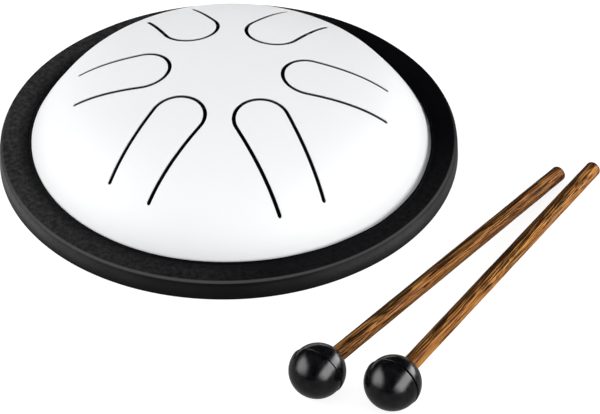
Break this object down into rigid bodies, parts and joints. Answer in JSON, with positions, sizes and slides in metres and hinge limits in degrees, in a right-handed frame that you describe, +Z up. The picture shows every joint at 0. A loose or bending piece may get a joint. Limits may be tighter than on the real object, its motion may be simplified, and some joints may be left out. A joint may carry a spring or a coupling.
{
  "type": "steel tongue drum",
  "caption": "Small domed white steel tongue drum standing on a black rubber rim ring, with U-shaped tongues cut in the dome, and a pair of wooden mallets with rubber ball heads.",
  "frame": {"origin": "middle of the footprint of the whole set, drum and both mallets, on the plane they rest on", "axes": "+Z up out of the dome; +Y away from the mallets' heads; the drum's own axis is parallel to Z at x -26.2 mm, y +32.2 mm"},
  "size_m": [0.2304, 0.2424, 0.0384],
  "materials": {
    "white_enamel": "smooth glossy white coating on pressed steel",
    "ring_rubber": "matt moulded black rubber with a fine grain",
    "gasket_rubber": "plain dark foam strip",
    "ball_rubber": "moulded black rubber with a soft shine",
    "stick_wood": "oiled brown wood with dark straight grain"
  },
  "bodies": {
    "drum": {"top_shell": "white_enamel", "base_pan": "white_enamel", "flange_gasket": "gasket_rubber", "rim_ring": "ring_rubber"},
    "tongue_1": {"tongue_1": "white_enamel"},
    "tongue_2": {"tongue_2": "white_enamel"},
    "tongue_3": {"tongue_3": "white_enamel"},
    "tongue_4": {"tongue_4": "white_enamel"},
    "tongue_5": {"tongue_5": "white_enamel"},
    "tongue_6": {"tongue_6": "white_enamel"},
    "mallet_1": {"mallet_1_head": "ball_rubber", "mallet_1_stick": "stick_wood"},
    "mallet_2": {"mallet_2_head": "ball_rubber", "mallet_2_stick": "stick_wood"}
  },
  "joints": [
    {"name": "tongue_1_flex", "type": "hinge", "parent": "drum", "child": "tongue_1", "pos_m": [-0.00084, -0.02973, 0.01937], "axis": [-0.9151, -0.4033, 0], "range_deg": [-0.5, 0.5], "stiffness_Nm_per_rad": 0.8},
    {"name": "tongue_2_flex", "type": "hinge", "parent": "drum", "child": "tongue_2", "pos_m": [-0.0633, -0.02118, 0.02093], "axis": [-0.7961, 0.6051, 0], "range_deg": [-0.5, 0.5], "stiffness_Nm_per_rad": 0.8},
    {"name": "tongue_3_flex", "type": "hinge", "parent": "drum", "child": "tongue_3", "pos_m": [0.03361, 0.02233, 0.02481], "axis": [-0.093, -0.9957, 0], "range_deg": [-0.5, 0.5], "stiffness_Nm_per_rad": 0.8},
    {"name": "tongue_4_flex", "type": "hinge", "parent": "drum", "child": "tongue_4", "pos_m": [-0.08391, 0.03503, 0.02639], "axis": [0.069, 0.9976, 0], "range_deg": [-0.5, 0.5], "stiffness_Nm_per_rad": 0.8},
    {"name": "tongue_5_flex", "type": "hinge", "parent": "drum", "child": "tongue_5", "pos_m": [0.00599, 0.07479, 0.02877], "axis": [0.7934, -0.6087, 0], "range_deg": [-0.5, 0.5], "stiffness_Nm_per_rad": 0.8},
    {"name": "tongue_6_flex", "type": "hinge", "parent": "drum", "child": "tongue_6", "pos_m": [-0.04832, 0.0781, 0.02985], "axis": [0.9076, 0.4198, 0], "range_deg": [-0.5, 0.5], "stiffness_Nm_per_rad": 0.8},
    {"name": "mallet_1_lift", "type": "slide", "parent": "drum", "child": "mallet_1", "axis": [0, 0, 1], "range_m": [0, 0.12]},
    {"name": "mallet_2_lift", "type": "slide", "parent": "drum", "child": "mallet_2", "axis": [0, 0, 1], "range_m": [0, 0.12]}
  ]
}
